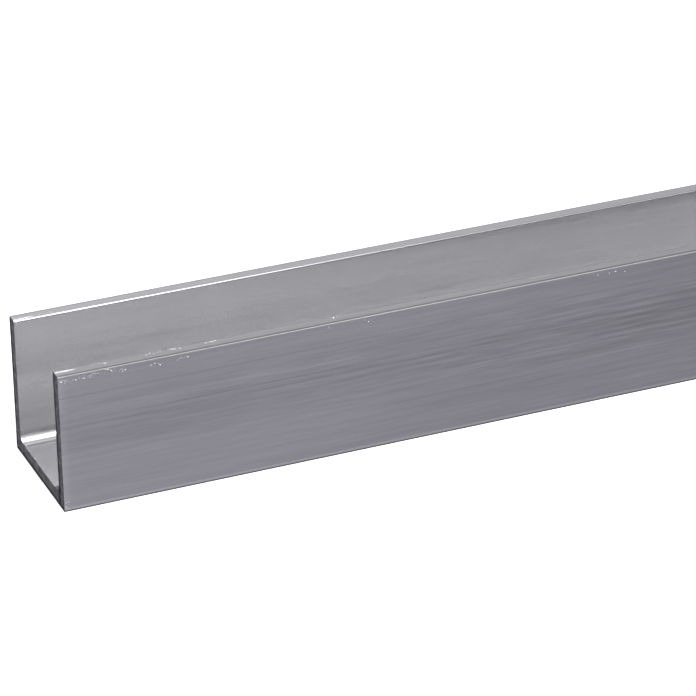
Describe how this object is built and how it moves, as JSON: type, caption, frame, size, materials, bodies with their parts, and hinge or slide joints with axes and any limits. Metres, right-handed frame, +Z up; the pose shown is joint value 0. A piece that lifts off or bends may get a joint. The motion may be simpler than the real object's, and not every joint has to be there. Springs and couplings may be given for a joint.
{
  "type": "aluminium u-channel profile",
  "caption": "Straight extruded U-channel in mill-finish aluminium: a flat web with an upright leg along each side, open along the top, with plain sawn ends.",
  "frame": {"origin": "under the middle of the web, halfway along the bar", "axes": "+X along the bar, +Y from one leg to the other, +Z up from the web to the open side"},
  "size_m": [1, 0.02, 0.02],
  "materials": {
    "mill_aluminium": "mill finish: bare extruded metal with fine lengthwise die lines, satin, with sawn ends"
  },
  "bodies": {
    "root": {"u_channel": "mill_aluminium"}
  },
  "joints": []
}
